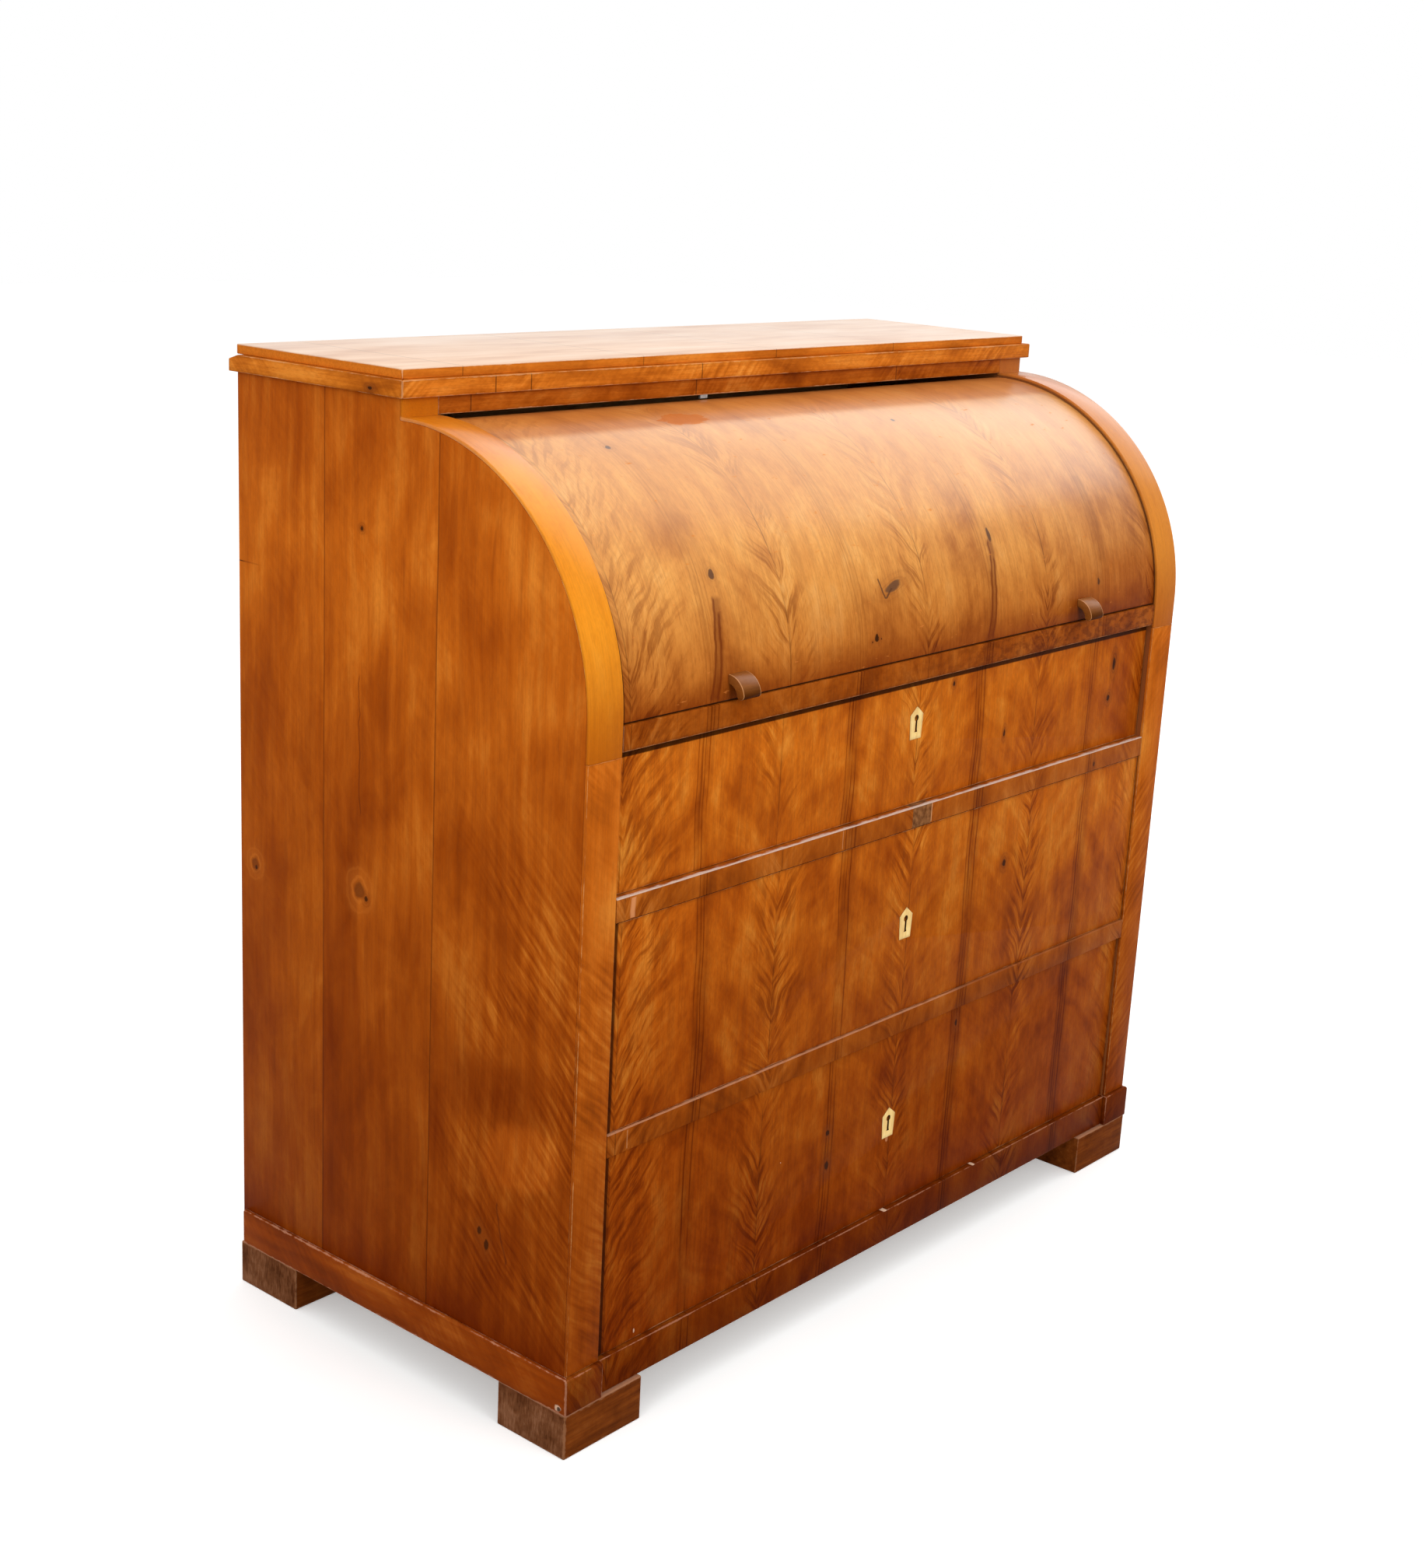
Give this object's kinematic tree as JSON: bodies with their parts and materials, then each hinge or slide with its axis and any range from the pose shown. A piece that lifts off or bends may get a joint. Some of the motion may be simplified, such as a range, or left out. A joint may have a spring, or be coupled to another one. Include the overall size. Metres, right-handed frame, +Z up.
{
  "type": "cylinder bureau",
  "caption": "Cylinder bureau in flame birch veneer with a quarter-round fall, a sliding writing board and three long drawers.",
  "frame": {"origin": "on the floor, at the middle of the desk's width and of its depth, handles and cornice ends included", "axes": "+X towards the right-hand gable seen from the front, +Y towards the back, +Z up; the drawers face -Y"},
  "size_m": [1.116, 0.5542, 1.0975],
  "materials": {
    "veneer": "satin",
    "side_veneer": "satin",
    "softwood": "matte",
    "foot_wood": "satin",
    "handle_wood": "satin",
    "bone": "satin",
    "iron": "matte",
    "tin": "matte"
  },
  "bodies": {
    "case": {"gable_left": "side_veneer", "gable_right": "side_veneer", "lining_left": "softwood", "lining_right": "softwood", "rim_left": "veneer", "rim_right": "veneer", "stile_left": "veneer", "stile_right": "veneer", "rail_upper": "veneer", "rail_lower": "veneer", "base_rail": "veneer", "corner_block_left": "veneer", "corner_block_right": "veneer", "plinth_left": "side_veneer", "plinth_right": "side_veneer", "foot_front_left": "foot_wood", "foot_front_right": "foot_wood", "foot_rear_left": "foot_wood", "foot_rear_right": "foot_wood", "bottom_board": "softwood", "dust_board_upper": "softwood", "dust_board_lower": "softwood", "back_panel": "softwood", "sub_top": "softwood", "frieze": "veneer", "cornice_front": "veneer", "cornice_left": "side_veneer", "cornice_right": "side_veneer", "top_slab": "veneer", "fall_stop": "tin", "slide_bearers": "softwood", "nest_base": "veneer", "nest_uprights": "veneer", "nest_top": "veneer", "nest_back": "softwood"},
    "fall": {"fall_shell": "veneer", "fall_rib_left": "veneer", "fall_rib_right": "veneer", "fall_pivots": "iron", "handle_left": "handle_wood", "handle_right": "handle_wood"},
    "slide": {"writing_slide": "veneer"},
    "top_drawer": {"top_drawer_front": "veneer", "top_drawer_sides": "softwood", "top_drawer_back": "softwood", "top_drawer_bottom": "softwood", "top_drawer_escutcheon": "bone", "top_drawer_lock": "iron"},
    "middle_drawer": {"middle_drawer_front": "veneer", "middle_drawer_sides": "softwood", "middle_drawer_back": "softwood", "middle_drawer_bottom": "softwood", "middle_drawer_escutcheon": "bone", "middle_drawer_lock": "iron"},
    "bottom_drawer": {"bottom_drawer_front": "veneer", "bottom_drawer_sides": "softwood", "bottom_drawer_back": "softwood", "bottom_drawer_bottom": "softwood", "bottom_drawer_escutcheon": "bone", "bottom_drawer_lock": "iron"}
  },
  "joints": [
    {"name": "fall_hinge", "type": "hinge", "parent": "case", "child": "fall", "pos_m": [0, 0.00612, 0.782], "axis": [-1, 0, 0], "range_deg": [0, 73]},
    {"name": "slide_travel", "type": "slide", "parent": "case", "child": "slide", "axis": [0, -1, 0], "range_m": [0, 0.24]},
    {"name": "top_drawer_travel", "type": "slide", "parent": "case", "child": "top_drawer", "axis": [0, -1, 0], "range_m": [0, 0.38]},
    {"name": "middle_drawer_travel", "type": "slide", "parent": "case", "child": "middle_drawer", "axis": [0, -1, 0], "range_m": [0, 0.38]},
    {"name": "bottom_drawer_travel", "type": "slide", "parent": "case", "child": "bottom_drawer", "axis": [0, -1, 0], "range_m": [0, 0.38]}
  ]
}
